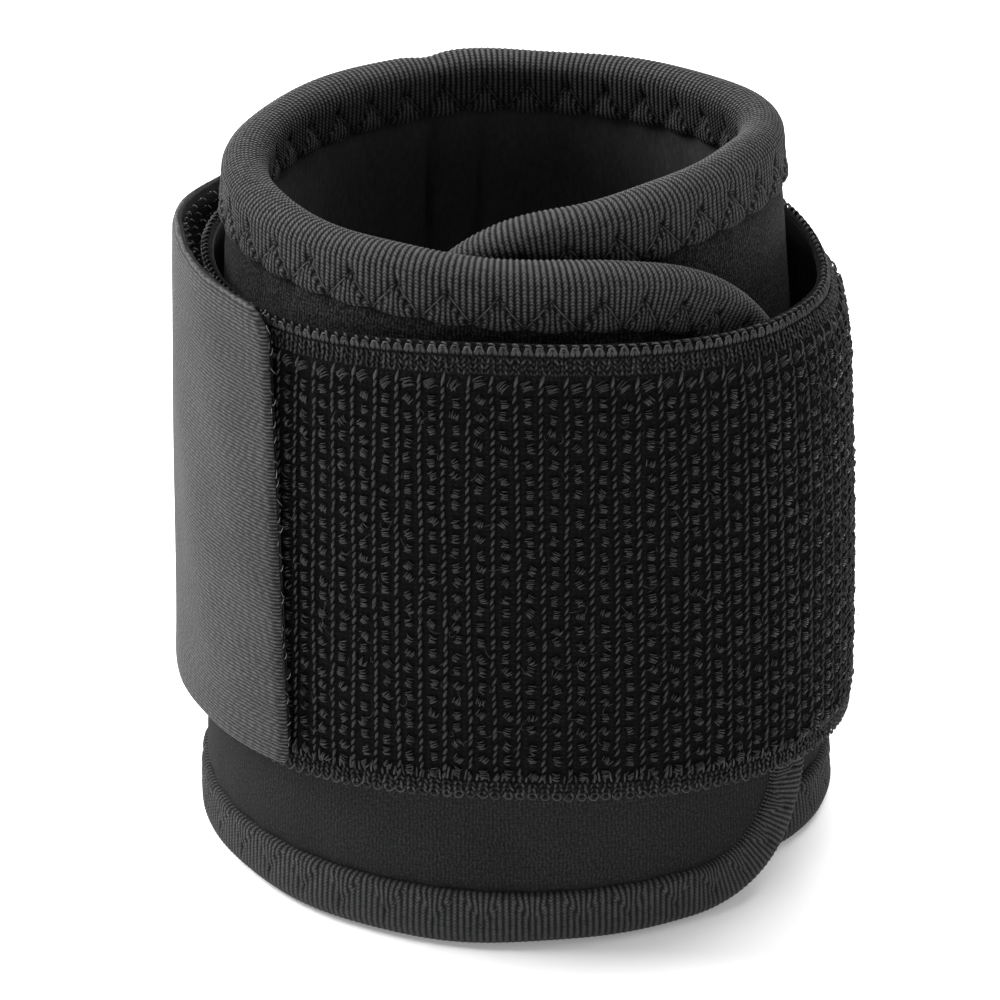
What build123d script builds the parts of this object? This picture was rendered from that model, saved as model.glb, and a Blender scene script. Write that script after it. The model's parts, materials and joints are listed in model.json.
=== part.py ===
from build123d import *
import math
import os

# Wrist support brace: a neoprene band rolled into a ring that overlaps itself at the front,
# with a wide loop-pile elastic strap wound round it and closed by a grey hook tab.
# Millimetres, +Z up, standing on the band's lower bound edge, origin at the middle of the base.
#
# Everything is laid out by angle, in degrees, counter-clockwise seen from above, from +X.
# Angles run on past 360, because both the band and the strap go round more than once:
# 270 and 630 are both at the front (-Y), 450 is at the back (+Y).

# ---- driving dimensions ------------------------------------------------------------
BAND_WIDTH = 79.0           # height of the standing band
BAND_THICKNESS = 4.0        # jersey + foam + lining
JERSEY = 0.4
LINING = 0.6
LAYER_GAP = 0.02            # air left between laminated layers
BINDING = 0.5               # thickness of the knit tape folded round every edge
BINDING_DEPTH = 6.5         # how far the tape reaches in from the edge
BASE_SQUASH = 0.4           # how much of the lower binding is pressed flat by the ground

BAND_START = 232.0          # inner end of the band, inside the ring at the front left
FLAP_HINGE = 505.0          # where the side of the flap starts to open
FRONT_HINGE = 600.0         # where the front of the flap starts to open
BAND_END = 692.0            # outer end of the band, at the front right
INNER_END_RADII = (12.0, 24.0)      # corner radii, lower and upper
OUTER_END_RADII = (17.0, 26.0)
OUTER_END_SLANT = 5.0       # the outer end reaches this much further at the top

STRAP_WIDTH = 52.0
WEBBING = 1.0
PILE = 0.58
SELVEDGE = 2.0              # flat woven edge with no pile
STRAP_START = 96.0
STRAP_HINGES = (125.0, 200.0, 275.0, 350.0, 430.0)
STRAP_END = 465.0
TAB_START = 455.0
TAB_HINGE = 510.0
PEEL_HINGE = 550.0
TAB_END = 586.0
TAB_END_SLANT = 4.0         # the free end reaches this much further at its lower corner
TAB_COVER = 0.7
TAB_HOOK = 0.62
TAB_GAP = 0.08
TAB_DEPTH = TAB_HOOK + TAB_GAP + TAB_COVER
TAB_LAP = WEBBING + LAYER_GAP + PILE + 0.05     # the tab's root lies on the strap's end
HOOK_START = 488.0
HOOK_MARGIN = 1.5           # the hook field stops short of the tab's edges

SEGMENT_GAP = 0.35          # degrees left free on each side of a hinge
END_SPARE = 2.0             # degrees built past the band's ends before they are cut round
SLANT_SPARE = 12.0
CUT_SPARE = 0.3             # degrees that a cut runs past the piece it is taken from
LEAN = -0.8                 # how far the ring leans along X over the band's width
HINGE_CLEARANCE = 0.08
STITCH = 0.3
ANCHOR_ROWS = (458.0, 469.0)        # the strap's anchor seams, seen on the lining
TAB_ROWS = (457.5, 462.5)
STITCH_PITCH = 3.6
STITCH_LENGTH = 2.8

# Radii along the winding, as (angle, millimetres), at the lower and upper edges, and how far
# the band's upper edge is stretched up, and how high the strap's lower edge runs.
BAND_LOWER = [(225, 29.8), (290, 29.9), (318, 30.4), (330, 31.3), (340, 33.3), (350, 34.8),
              (362, 35.6), (382, 35.6), (400, 35.4), (520, 35.4), (575, 35.8), (615, 35.7),
              (640, 35.5), (668, 35.8), (705, 37.7)]
BAND_UPPER = [(225, 24.9), (290, 25.0), (320, 25.3), (345, 26.8), (375, 30.1), (390, 30.7),
              (640, 30.7), (668, 31.1), (705, 33.2)]
BAND_RISE = [(225, 1.8), (260, 1.8), (290, 2.4), (320, 3.2), (345, 3.0), (370, 2.0), (400, 1.0),
             (440, 0.3), (460, 0.4), (480, 0.1), (600, 0.0), (640, -1.4), (660, -2.2), (705, -2.2)]
STRAP_LOWER = [(90, 34.9), (125, 34.9), (180, 35.0), (225, 35.3), (270, 36.1), (320, 37.2),
               (345, 36.8), (362, 36.3), (385, 36.3), (440, 36.7), (480, 36.9), (540, 37.0),
               (595, 37.2)]
STRAP_UPPER = [(90, 32.5), (125, 32.5), (180, 32.6), (225, 33.2), (270, 34.0), (315, 34.6),
               (340, 34.0), (365, 33.3), (400, 33.7), (450, 35.3), (480, 35.6), (505, 36.5),
               (522, 37.0), (533, 36.3), (545, 35.4), (595, 35.4)]
STRAP_HEIGHT = [(90, 15.0), (150, 16.0), (180, 16.5), (225, 17.5), (270, 19.4), (330, 16.0),
                (360, 14.3), (450, 15.5), (500, 16.2), (525, 16.9), (545, 18.6), (595, 19.0)]
TAB_OFFSET = [(450, TAB_LAP), (460, TAB_LAP), (466, TAB_LAP), (484, 0.0),
              (494, 0.0), (595, 0.0)]


# ---- geometry helpers --------------------------------------------------------------
def along(table, angle):
    """Smooth value of a (angle, value) table: cubic between points, with mean slopes."""
    last = len(table) - 1
    angle = min(max(angle, table[0][0]), table[last][0])
    i = max(k for k in range(last) if table[k][0] <= angle)

    def slope(k):
        low, high = max(k - 1, 0), min(k + 1, last)
        return (table[high][1] - table[low][1]) / (table[high][0] - table[low][0])

    (a0, v0), (a1, v1) = table[i], table[i + 1]
    step = a1 - a0
    t = (angle - a0) / step
    return (v0 * (1 - t) ** 2 * (1 + 2 * t) + v1 * t * t * (3 - 2 * t)
            + step * t * (1 - t) * (slope(i) * (1 - t) - slope(i + 1) * t))


def place(angle, radius, z):
    """Point of the ring at an angle, a radius and a height."""
    turn = math.radians(angle)
    return Vector(radius * math.cos(turn) + LEAN * z / BAND_WIDTH, radius * math.sin(turn), z)


def band_radius(angle, z):
    """Radius of the jersey face of the band, z measured from the band's own lower edge."""
    t = z / BAND_WIDTH
    return along(BAND_LOWER, angle) * (1 - t) + along(BAND_UPPER, angle) * t


def band_height(angle, z):
    """Real height of a point of the band, z measured before its upper edge is stretched up."""
    return z + along(BAND_RISE, angle) * z / BAND_WIDTH


def strap_radius(angle, z):
    """Radius of the inner face of the strap, z measured from the strap's lower edge."""
    t = z / STRAP_WIDTH
    return along(STRAP_LOWER, angle) * (1 - t) + along(STRAP_UPPER, angle) * t


def stations(start, end, step=5.0):
    """Angles from start to end in nearly equal steps."""
    count = max(2, math.ceil((end - start) / step))
    return [start + (end - start) * i / count for i in range(count + 1)]


def wind(start, end, corners):
    """Solid wound from start to end through radial sections given by corners(angle)."""
    sections = [Wire.make_polygon([place(angle, r, z) for r, z in corners(angle)], close=True)
                for angle in stations(start, end)]
    return Solid.make_loft(sections)


def band_block(start, end, inset, outset, low, high):
    """Part of the band between two depths under its jersey face and two heights."""
    def corners(angle):
        return [(band_radius(angle, z) + depth, band_height(angle, z))
                for depth, z in ((-inset, low), (outset, low), (outset, high), (-inset, high))]
    return wind(start, end, corners)


def strap_block(start, end, inner, outer, margin=0.0, lift=None):
    """Part of the strap between two distances from its inner face."""
    def corners(angle):
        base = along(STRAP_HEIGHT, angle)
        extra = along(lift, angle) if lift else 0.0
        low, high = margin, STRAP_WIDTH - margin
        return [(strap_radius(angle, z) + extra + depth, z + base)
                for depth, z in ((inner, low), (outer, low), (outer, high), (inner, high))]
    return wind(start, end, corners)


def end_cutter(angle, side, radii, trim, slant=0.0):
    """Prism that trims one end of the band, with its two corners rounded.

    side is +1 for the end of the winding and -1 for its start. trim moves the whole
    outline in from the edges, for the layers inside the binding and for its window.
    slant is how much further the end reaches at the top than at the bottom."""
    facing = 18.0           # degrees back from the end to where the sketch plane touches
    reach = 25.0            # how far the prism runs past the band
    depth = 60.0
    middle = math.radians(angle - side * facing)
    edge = band_radius(angle, BAND_WIDTH / 2) * math.sin(math.radians(facing)) - trim
    low, high = trim, BAND_WIDTH - trim
    lower, upper = (max(r - trim, 1.0) for r in radii)
    corner = 1 - math.sqrt(0.5)

    def lean(x, z):
        return x + slant * z / BAND_WIDTH, band_height(angle, z)

    outline = Plane(origin=(0, 0, 0), x_dir=(-side * math.sin(middle), side * math.cos(middle), 0),
                    z_dir=(side * math.cos(middle), side * math.sin(middle), 0))
    with BuildPart() as cutter:
        with BuildSketch(outline):
            with BuildLine():
                Line(lean(edge - lower, low - reach), lean(edge - lower, low))
                ThreePointArc(lean(edge - lower, low),
                              lean(edge - lower * corner, low + lower * corner),
                              lean(edge, low + lower))
                Line(lean(edge, low + lower), lean(edge, high - upper))
                ThreePointArc(lean(edge, high - upper),
                              lean(edge - upper * corner, high - upper * corner),
                              lean(edge - upper, high))
                Polyline(lean(edge - upper, high), lean(edge - upper, high + reach),
                         lean(edge + reach, high + reach), lean(edge + reach, low - reach),
                         lean(edge - lower, low - reach))
            make_face()
        extrude(amount=side * depth)
    return cutter.part


# ---- the band ----------------------------------------------------------------------
def trim_ends(block, start, end, trim):
    """Cut the rounded free ends on a block of the band, where it has one."""
    if start is None:
        block = block - end_cutter(BAND_START, -1, INNER_END_RADII, trim)
    if end is None:
        block = block - end_cutter(BAND_END, 1, OUTER_END_RADII, trim, OUTER_END_SLANT)
    return block


def band_layer(start, end, inset, outset, trim, overrun=0.0):
    """One layer of a length of band. start or end None means a free, rounded end."""
    first = BAND_START - END_SPARE if start is None else start + SEGMENT_GAP - overrun
    last = BAND_END + SLANT_SPARE if end is None else end - SEGMENT_GAP + overrun
    block = band_block(first, last, inset, outset, trim, BAND_WIDTH - trim)
    return trim_ends(block, start, end, trim)


def band_core(start, end):
    """Foam, jersey face and brushed lining of a length of band."""
    jersey_in = JERSEY
    foam_out = -(JERSEY + LAYER_GAP)
    foam_in = BAND_THICKNESS - LINING - LAYER_GAP
    edge = BINDING + LAYER_GAP
    return {
        "jersey": band_layer(start, end, jersey_in, 0.0, edge),
        "foam": band_layer(start, end, foam_in, foam_out, edge),
        "lining": band_layer(start, end, BAND_THICKNESS, -(BAND_THICKNESS - LINING), edge),
    }


def band_binding(start, end):
    """Knit tape folded round the edges of a length of band, open in the middle."""
    first = BAND_START - END_SPARE if start is None else start + SEGMENT_GAP
    last = BAND_END + SLANT_SPARE if end is None else end - SEGMENT_GAP
    skin = BINDING + LAYER_GAP
    outer = band_block(first, last, BAND_THICKNESS + skin, skin, -BASE_SQUASH, BAND_WIDTH)
    outer = trim_ends(outer, start, end, 0.0)
    core = band_layer(start, end, BAND_THICKNESS + LAYER_GAP, LAYER_GAP, BINDING, CUT_SPARE)
    window = band_layer(start, end, BAND_THICKNESS + 2 * skin, 2 * skin, BINDING_DEPTH, CUT_SPARE)
    ground = Box(3 * BAND_WIDTH, 3 * BAND_WIDTH, BINDING_DEPTH, align=(Align.CENTER, Align.CENTER, Align.MAX))
    return outer - core - window - ground


# ---- the strap and its tab ---------------------------------------------------------
def strap_length(start, end, first_gap=SEGMENT_GAP, last_gap=SEGMENT_GAP):
    """Webbing and loop pile of a length of strap."""
    first, last = start + first_gap, end - last_gap
    return {
        "webbing": strap_block(first, last, 0.0, WEBBING),
        "pile": strap_block(first, last, WEBBING + LAYER_GAP, WEBBING + LAYER_GAP + PILE, SELVEDGE),
    }


def tab_length(start, end, hook_start, cover_last_gap=SEGMENT_GAP):
    """Knit cover and hook field of a length of tab."""
    first, last = start + SEGMENT_GAP, end - cover_last_gap
    hook_first = max(hook_start, first)
    return {
        "cover": strap_block(first, last, TAB_HOOK + TAB_GAP, TAB_DEPTH, 0.0, TAB_OFFSET),
        "hook": strap_block(hook_first, last, 0.0, TAB_HOOK, HOOK_MARGIN, TAB_OFFSET),
    }


def slant_cutter(angle, margin):
    """Half space beyond the slanted free end of the tab."""
    base = along(STRAP_HEIGHT, angle)
    low = place(angle + TAB_END_SLANT, strap_radius(angle, 0.0), base)
    high = place(angle, strap_radius(angle, STRAP_WIDTH), base + STRAP_WIDTH)
    upward = (high - low).normalized()
    outward = place(angle + TAB_END_SLANT / 2, 1.0, 0.0).normalized()
    ahead = outward.cross(upward) * -1
    face = Plane(origin=low - ahead * margin, x_dir=outward, z_dir=ahead)
    beyond = (Align.CENTER, Align.CENTER, Align.MIN)
    return face * Box(STRAP_WIDTH, 3 * STRAP_WIDTH, STRAP_WIDTH, align=beyond)


# ---- stitches ----------------------------------------------------------------------
def stitch_rows(angles, radius_at, base, height):
    """Vertical rows of short stitches, each lying on the surface given by radius_at."""
    stitches = []
    count = int((height - STITCH_LENGTH) / STITCH_PITCH)
    for angle in angles:
        for i in range(count):
            z = base + (i + 1) * STITCH_PITCH
            spot = place(angle, radius_at(angle, z), z)
            bar = Box(STITCH, STITCH, STITCH_LENGTH)
            stitches.append(Pos(spot.X, spot.Y, spot.Z) * Rot(0, 0, angle) * bar)
    return Compound(stitches)


def anchor_stitching():
    def lining_radius(angle, z):
        return band_radius(angle, z) - BAND_THICKNESS - STITCH
    return stitch_rows(ANCHOR_ROWS, lining_radius, along(STRAP_HEIGHT, STRAP_START), STRAP_WIDTH)


def tab_stitching():
    def cover_radius(angle, z):
        face = strap_radius(angle, z - along(STRAP_HEIGHT, angle))
        return face + TAB_LAP + TAB_DEPTH + 1.5 * STITCH
    return stitch_rows(TAB_ROWS, cover_radius, along(STRAP_HEIGHT, TAB_START), STRAP_WIDTH)


# ---- assembly ----------------------------------------------------------------------
def build():
    nodes = {}

    def add(prefix, pieces):
        for name, shape in pieces.items():
            nodes[f"{prefix}_{name}"] = shape

    spans = {"band": (None, FLAP_HINGE), "flap_side": (FLAP_HINGE, FRONT_HINGE),
             "flap_front": (FRONT_HINGE, None)}
    for prefix, (start, end) in spans.items():
        add(prefix, band_core(start, end))
        binding = band_binding(start, end)
        if prefix == "flap_side":
            low, high = sorted(binding.solids(), key=lambda s: s.center().Z)
            add(prefix, {"binding_lower": low, "binding_upper": high})
        else:
            add(prefix, {"binding": binding})

    add("strap_root", strap_length(STRAP_START, STRAP_HINGES[0], first_gap=0.0))
    for i in range(len(STRAP_HINGES) - 1):
        add(f"strap_{i + 1}", strap_length(STRAP_HINGES[i], STRAP_HINGES[i + 1]))
    add("strap_end", strap_length(STRAP_HINGES[4], STRAP_END, last_gap=0.0))

    add("tab_root", tab_length(TAB_START, TAB_HINGE, HOOK_START))
    add("tab_base", tab_length(TAB_HINGE, PEEL_HINGE, TAB_HINGE))
    tip = tab_length(PEEL_HINGE, TAB_END + TAB_END_SLANT + END_SPARE, PEEL_HINGE, 0.0)
    add("tab_tip", {"cover": tip["cover"] - slant_cutter(TAB_END, 0.0),
                    "hook": tip["hook"] - slant_cutter(TAB_END, HOOK_MARGIN)})

    nodes["strap_anchor_stitching"] = anchor_stitching()
    nodes["tab_seam_stitching"] = tab_stitching()
    return nodes


def hinge_lines():
    """Where each vertical hinge stands: on the outer face of the layer that bends."""
    lines = {"flap_side_fold": (FLAP_HINGE, along(BAND_LOWER, FLAP_HINGE) + BINDING),
             "flap_front_fold": (FRONT_HINGE, along(BAND_LOWER, FRONT_HINGE) + BINDING)}
    strap_depth = WEBBING + LAYER_GAP + PILE
    for i, angle in enumerate(STRAP_HINGES):
        lines[f"strap_fold_{i + 1}"] = (angle, along(STRAP_LOWER, angle) + strap_depth)
    for name, angle in (("tab_fold", TAB_HINGE), ("tab_peel", PEEL_HINGE)):
        lines[name] = (angle, along(STRAP_LOWER, angle) + TAB_DEPTH)
    return {name: place(angle, radius + HINGE_CLEARANCE, 0.0)
            for name, (angle, radius) in lines.items()}


def main():
    nodes = build()
    boxes = [shape.bounding_box() for shape in nodes.values()]
    to_origin = Vector(-(min(b.min.X for b in boxes) + max(b.max.X for b in boxes)) / 2,
                       -(min(b.min.Y for b in boxes) + max(b.max.Y for b in boxes)) / 2, 0)
    os.makedirs("parts", exist_ok=True)
    for name, shape in nodes.items():
        export_step(shape.moved(Location(to_origin)), f"parts/{name}.step")
    print("moved to the origin by", [round(v, 4) for v in tuple(to_origin)])
    for name, spot in hinge_lines().items():
        print("hinge", name, [round(v, 3) for v in tuple(spot + to_origin)])


main()
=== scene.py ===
import json
import math

import bpy
import numpy as np
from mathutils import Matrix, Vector


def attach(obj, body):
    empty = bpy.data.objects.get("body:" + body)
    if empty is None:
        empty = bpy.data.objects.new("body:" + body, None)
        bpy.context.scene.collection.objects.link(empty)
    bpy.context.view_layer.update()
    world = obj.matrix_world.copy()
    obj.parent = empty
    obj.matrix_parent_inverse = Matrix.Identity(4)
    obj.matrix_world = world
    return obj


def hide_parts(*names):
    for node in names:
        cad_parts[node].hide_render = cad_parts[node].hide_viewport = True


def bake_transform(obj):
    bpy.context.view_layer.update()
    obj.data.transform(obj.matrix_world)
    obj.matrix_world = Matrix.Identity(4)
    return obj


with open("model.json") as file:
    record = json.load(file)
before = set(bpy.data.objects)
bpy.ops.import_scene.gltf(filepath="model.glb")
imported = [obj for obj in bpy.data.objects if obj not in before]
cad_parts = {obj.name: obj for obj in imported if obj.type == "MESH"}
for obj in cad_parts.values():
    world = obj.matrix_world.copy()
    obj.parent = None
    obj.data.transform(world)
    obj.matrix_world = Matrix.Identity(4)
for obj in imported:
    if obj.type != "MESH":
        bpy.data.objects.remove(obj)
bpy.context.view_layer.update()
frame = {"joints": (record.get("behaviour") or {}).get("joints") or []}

# Wrist support brace: a bound neoprene band rolled into an overlapping ring, a loop-pile strap
# wound round it and a grey knit tab. Lengths are millimetres until mesh() turns them to metres.
# Angles are degrees, counter-clockwise from +X seen from above, and run on past 360.
MM = 0.001
RANDOM = np.random.default_rng(431)

# ---- the object's layout, as the CAD part has it
BAND_WIDTH = 79.0
BAND_THICKNESS = 4.0
CORE_SPLIT = 2.0            # depth under the jersey face where the foam's two halves meet
BINDING = 0.5
BINDING_DEPTH = 6.5
BAND_START, BAND_END = 232.0, 692.0
INNER_CORNERS = (12.0, 24.0)        # radii, lower and upper
OUTER_CORNERS = (17.0, 26.0)
OUTER_END_SLANT = 5.0
OUTER_SLANT_FROM = 640.0
FLAP_HINGE, FRONT_HINGE = 505.0, 600.0
STRAP_WIDTH = 52.0
WEBBING = 1.0
STRAP_START, STRAP_END = 96.0, 465.0
STRAP_HINGES = (125.0, 200.0, 275.0, 350.0, 430.0)
TAB_START, TAB_HINGE, PEEL_HINGE, TAB_END = 455.0, 510.0, 550.0, 586.0
TAB_END_SLANT = 4.0
TAB_HOOK, TAB_DEPTH = 0.62, 1.4
TAB_LAP = 1.65
HOOK_START = 488.0
BULGE_TOP = 46.0            # height on the strap where its bulge ends
CURL_FROM, CURL_OVER = 44.0, 8.0    # height where its top edge starts to curl in, and how soon
LEAN = -0.8

BAND_LOWER = [(225, 29.8), (290, 29.9), (318, 30.4), (330, 31.3), (340, 33.3), (350, 34.8),
              (362, 35.6), (382, 35.6), (400, 35.4), (520, 35.4), (575, 35.8), (615, 35.7),
              (640, 35.5), (668, 35.8), (705, 37.7)]
BAND_UPPER = [(225, 24.9), (290, 25.0), (320, 25.3), (345, 26.8), (375, 30.1), (390, 30.7),
              (640, 30.7), (668, 31.1), (705, 33.2)]
BAND_RISE = [(225, 1.8), (260, 1.8), (290, 2.4), (320, 3.2), (345, 3.0), (370, 2.0), (400, 1.0),
             (440, 0.3), (460, 0.4), (480, 0.1), (600, 0.0), (640, -1.4), (660, -2.2), (705, -2.2)]
STRAP_LOWER = [(90, 34.9), (125, 34.9), (180, 35.0), (225, 35.3), (270, 36.1), (320, 37.2),
               (345, 36.8), (362, 36.3), (385, 36.3), (440, 36.7), (480, 36.9), (540, 37.0),
               (595, 37.2)]
STRAP_UPPER = [(90, 32.5), (125, 32.5), (180, 32.6), (225, 33.2), (270, 34.0), (315, 34.6),
               (340, 34.0), (365, 33.3), (400, 33.7), (450, 35.3), (480, 35.6), (505, 36.5),
               (522, 37.0), (533, 36.3), (545, 35.4), (595, 35.4)]
STRAP_HEIGHT = [(90, 15.0), (150, 16.0), (180, 16.5), (225, 17.5), (270, 19.4), (330, 16.0),
                (360, 14.3), (450, 15.5), (500, 16.2), (525, 16.9), (545, 18.6), (595, 19.0)]
STRAP_BULGE = [(90, 0.0), (210, 0.1), (300, 0.6), (340, 1.5), (385, 1.7), (420, 0.9), (450, 0.1),
               (595, 0.0)]
STRAP_CURL = [(90, 0.2), (210, 0.3), (300, 0.7), (335, 1.7), (375, 2.3), (410, 1.2), (450, 0.3),
              (595, 0.2)]
TAB_OFFSET = [(450, TAB_LAP), (460, TAB_LAP), (466, TAB_LAP), (484, 0.0), (494, 0.0), (595, 0.0)]


def along(table, angle):
    """Smooth value of a (angle, value) table: cubic between points, with mean slopes."""
    xs, ys = np.array(table, float).T
    slopes = np.r_[(ys[1] - ys[0]) / (xs[1] - xs[0]), (ys[2:] - ys[:-2]) / (xs[2:] - xs[:-2]),
                   (ys[-1] - ys[-2]) / (xs[-1] - xs[-2])]
    angle = np.clip(angle, xs[0], xs[-1])
    i = np.clip(np.searchsorted(xs, angle, side="right") - 1, 0, len(xs) - 2)
    step = xs[i + 1] - xs[i]
    t = (angle - xs[i]) / step
    return (ys[i] * (1 - t) ** 2 * (1 + 2 * t) + ys[i + 1] * t * t * (3 - 2 * t)
            + step * t * (1 - t) * (slopes[i] * (1 - t) - slopes[i + 1] * t))


def ring(angle, radius, z):
    """Points of the ring before it is moved to the part's origin."""
    turn = np.radians(angle)
    x = radius * np.cos(turn) + LEAN * z / BAND_WIDTH
    return np.stack(np.broadcast_arrays(x, radius * np.sin(turn), z), axis=-1)


FLAP_FOLD = next(joint for joint in frame["joints"] if joint["name"] == "flap_side_fold")
HINGE_CLEARANCE = 0.08
TO_ORIGIN = np.array(FLAP_FOLD["pos_m"]) / MM - ring(
    FLAP_HINGE, along(BAND_LOWER, FLAP_HINGE) + BINDING + HINGE_CLEARANCE, 0.0)


def place(angle, radius, z):
    return ring(angle, radius, z) + TO_ORIGIN


def radius_between(lower, upper, angle, share):
    return along(lower, angle) * (1 - share) + along(upper, angle) * share


class Winding:
    """Turns a length run along the winding into an angle, and back."""

    def __init__(self, start, end, radius_at):
        self.angles = np.linspace(start, end, 2000)
        radii = radius_at(self.angles)
        steps = np.radians(np.diff(self.angles)) * (radii[1:] + radii[:-1]) / 2
        self.lengths = np.r_[0.0, np.cumsum(steps)]

    def angle(self, length):
        return np.interp(length, self.lengths, self.angles)

    def length(self, angle):
        return np.interp(angle, self.angles, self.lengths)


band_run = Winding(225, 712, lambda a: radius_between(BAND_LOWER, BAND_UPPER, a, 0.5))
strap_run = Winding(90, 595, lambda a: radius_between(STRAP_LOWER, STRAP_UPPER, a, 0.5) + WEBBING)


def band_point(s, z, out):
    """Point of the band: s along it, z up from its lower edge, out from its jersey face."""
    slant_from = band_run.length(OUTER_SLANT_FROM)
    late = (s - slant_from) / (band_run.length(BAND_END) - slant_from)
    angle = band_run.angle(s + OUTER_END_SLANT * np.clip(late, 0, 1) * z / BAND_WIDTH)
    radius = radius_between(BAND_LOWER, BAND_UPPER, angle, z / BAND_WIDTH) + out
    return place(angle, radius, z + along(BAND_RISE, angle) * z / BAND_WIDTH)


def strap_point(s, v, out, lift=0.0):
    """Point of the strap: s along it, v up from its lower edge, out from its inner face."""
    angle = strap_run.angle(s)
    radius = radius_between(STRAP_LOWER, STRAP_UPPER, angle, v / STRAP_WIDTH) + out
    bulge = along(STRAP_BULGE, angle) * (1 - np.clip(1 - v / BULGE_TOP, 0, 1.1) ** 2)
    curl = along(STRAP_CURL, angle) * np.clip((v - CURL_FROM) / CURL_OVER, 0, 1.1) ** 2
    return place(angle, radius + lift + bulge - curl, v + along(STRAP_HEIGHT, angle))


def tab_point(s, v, out):
    return strap_point(s, v, out, along(TAB_OFFSET, strap_run.angle(s)))


# ---- meshes
def add_object(name, data):
    made = bpy.data.objects.new(name, data)
    bpy.context.scene.collection.objects.link(made)
    return made


def unit(vectors):
    return vectors / (np.linalg.norm(vectors, axis=-1, keepdims=True) + 1e-12)


def set_inputs(node, values):
    for name, value in values.items():
        node.inputs[name].default_value = value


def grid(columns, rows):
    """Every pair of a column and a row, as two flat arrays."""
    return (g.ravel() for g in np.meshgrid(columns, rows, indexing="ij"))


def mesh(name, points, faces, material, weave, flat_caps=False):
    """Mesh object from points in mm, the quads of its sides and the triangles of its caps."""
    data = bpy.data.meshes.new(name)
    data.from_pydata(np.asarray(points) * MM, [], [f for group in faces for f in group.tolist()])
    smooth = np.ones(len(data.polygons), bool)
    if flat_caps:
        smooth[len(faces[0]):] = False
    data.polygons.foreach_set("use_smooth", smooth)
    layer = data.attributes.new("weave", "FLOAT_VECTOR", "POINT")
    layer.data.foreach_set("vector", np.asarray(weave, np.float32).ravel())
    data.materials.append(material)
    made = add_object(name, data)
    return made


def tube_faces(rows, columns):
    """Quads of a skin of rows closed loops with columns points each, and its two end caps."""
    loop = np.arange(columns)
    after = (loop + 1) % columns
    base = columns * np.arange(rows - 1)[:, None]
    quads = np.stack([base + loop, base + after, base + columns + after,
                      base + columns + loop], -1).reshape(-1, 4)
    middles = np.full(columns, rows * columns)
    last = (rows - 1) * columns
    caps = np.concatenate([np.stack([middles, after, loop], -1),
                           np.stack([middles + 1, last + loop, last + after], -1)])
    return [quads, caps]


def skin(name, loops, material, weave):
    """Closed solid through loops, an array of rows x columns x 3, capped at both ends."""
    rows, columns = loops.shape[:2]
    points, marks = (np.concatenate([a.reshape(-1, 3), a[[0, -1]].mean(1)])
                     for a in (loops, weave))
    return mesh(name, points, tube_faces(rows, columns), material, marks, flat_caps=True)


def strands(name, lines, radii, sides, material, outward, shade):
    """Many thin closed tubes, pointed at both ends.

    lines is strands x knots x 3, radii fits strands x inner knots, and outward and shade have
    one row for each strand."""
    count, knots = lines.shape[:2]
    inner = lines[:, 1:-1]
    radii = np.broadcast_to(radii, inner.shape[:2])
    tangent = unit(lines[:, 2:] - lines[:, :-2])
    side = unit(np.cross(tangent, outward[:, None]))
    normal = np.cross(side, tangent)
    turn = (2 * np.pi * np.arange(sides) / sides)[:, None]
    around = side[:, :, None] * np.cos(turn) + normal[:, :, None] * np.sin(turn)
    rings = inner[:, :, None] + around * radii[:, :, None, None]
    points = np.concatenate([rings.reshape(count, -1, 3), lines[:, :1], lines[:, -1:]], axis=1)
    per = points.shape[1]
    offset = (np.arange(count) * per)[:, None, None]
    faces = [(f[None] + offset).reshape(-1, f.shape[-1]) for f in tube_faces(knots - 2, sides)]
    weave = np.zeros((count * per, 3))
    weave[:, 0] = np.repeat(shade, per)
    return mesh(name, points.reshape(-1, 3), faces, material, weave)


# ---- materials
def grey(light):
    return (light, light, light * 1.02, 1)


class Value:
    """Something a material works out at each point. Numbers take part in plain arithmetic."""

    def __init__(self, shader, socket):
        self.shader, self.socket = shader, socket

    def __add__(self, other):
        return self.shader.math("ADD", self, other)

    def __sub__(self, other):
        return self.shader.math("SUBTRACT", self, other)

    def __rsub__(self, other):
        return self.shader.math("SUBTRACT", other, self)

    def __mul__(self, other):
        return self.shader.math("MULTIPLY", self, other)

    def clamped(self):
        """The same number, held between 0 and 1."""
        self.socket.node.use_clamp = True
        return self


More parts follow.
